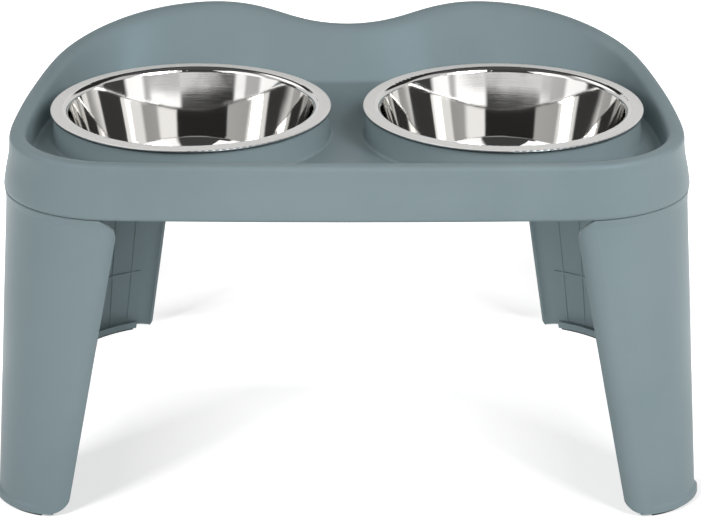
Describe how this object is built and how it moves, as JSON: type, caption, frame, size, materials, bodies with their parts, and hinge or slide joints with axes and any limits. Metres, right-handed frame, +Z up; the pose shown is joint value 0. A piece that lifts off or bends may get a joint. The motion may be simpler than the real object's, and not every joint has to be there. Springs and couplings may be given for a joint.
{
  "type": "raised double bowl stand",
  "caption": "Raised pet feeding stand: a moulded tray with a high double-humped splash rim holds drop-in steel bowls side by side on plug-in corner legs.",
  "frame": {"origin": "on the floor, below the middle of the stand's footprint", "axes": "+X to the right seen from the low front edge, +Y from the front edge to the high splash rim at the back, +Z up"},
  "size_m": [0.5982, 0.4132, 0.3385],
  "materials": {
    "grey_plastic": "satin moulded blue-grey plastic",
    "bowl_steel": "polished inside, satin rim",
    "pad_rubber": "matt dark rubber"
  },
  "bodies": {
    "tray": {"tray": "grey_plastic"},
    "left_bowl": {"left_bowl": "bowl_steel"},
    "right_bowl": {"right_bowl": "bowl_steel"},
    "front_left_leg": {"front_left_leg": "grey_plastic", "front_left_foot_pad": "pad_rubber"},
    "front_right_leg": {"front_right_leg": "grey_plastic", "front_right_foot_pad": "pad_rubber"},
    "rear_left_leg": {"rear_left_leg": "grey_plastic", "rear_left_foot_pad": "pad_rubber"},
    "rear_right_leg": {"rear_right_leg": "grey_plastic", "rear_right_foot_pad": "pad_rubber"}
  },
  "joints": [
    {"name": "left_bowl_lift", "type": "slide", "parent": "tray", "child": "left_bowl", "axis": [0, 0, 1], "range_m": [0, 0.115]},
    {"name": "right_bowl_lift", "type": "slide", "parent": "tray", "child": "right_bowl", "axis": [0, 0, 1], "range_m": [0, 0.115]},
    {"name": "front_left_leg_pull", "type": "slide", "parent": "tray", "child": "front_left_leg", "axis": [0, 0, -1], "range_m": [0, 0.025]},
    {"name": "front_right_leg_pull", "type": "slide", "parent": "tray", "child": "front_right_leg", "axis": [0, 0, -1], "range_m": [0, 0.025]},
    {"name": "rear_left_leg_pull", "type": "slide", "parent": "tray", "child": "rear_left_leg", "axis": [0, 0, -1], "range_m": [0, 0.025]},
    {"name": "rear_right_leg_pull", "type": "slide", "parent": "tray", "child": "rear_right_leg", "axis": [0, 0, -1], "range_m": [0, 0.025]}
  ]
}
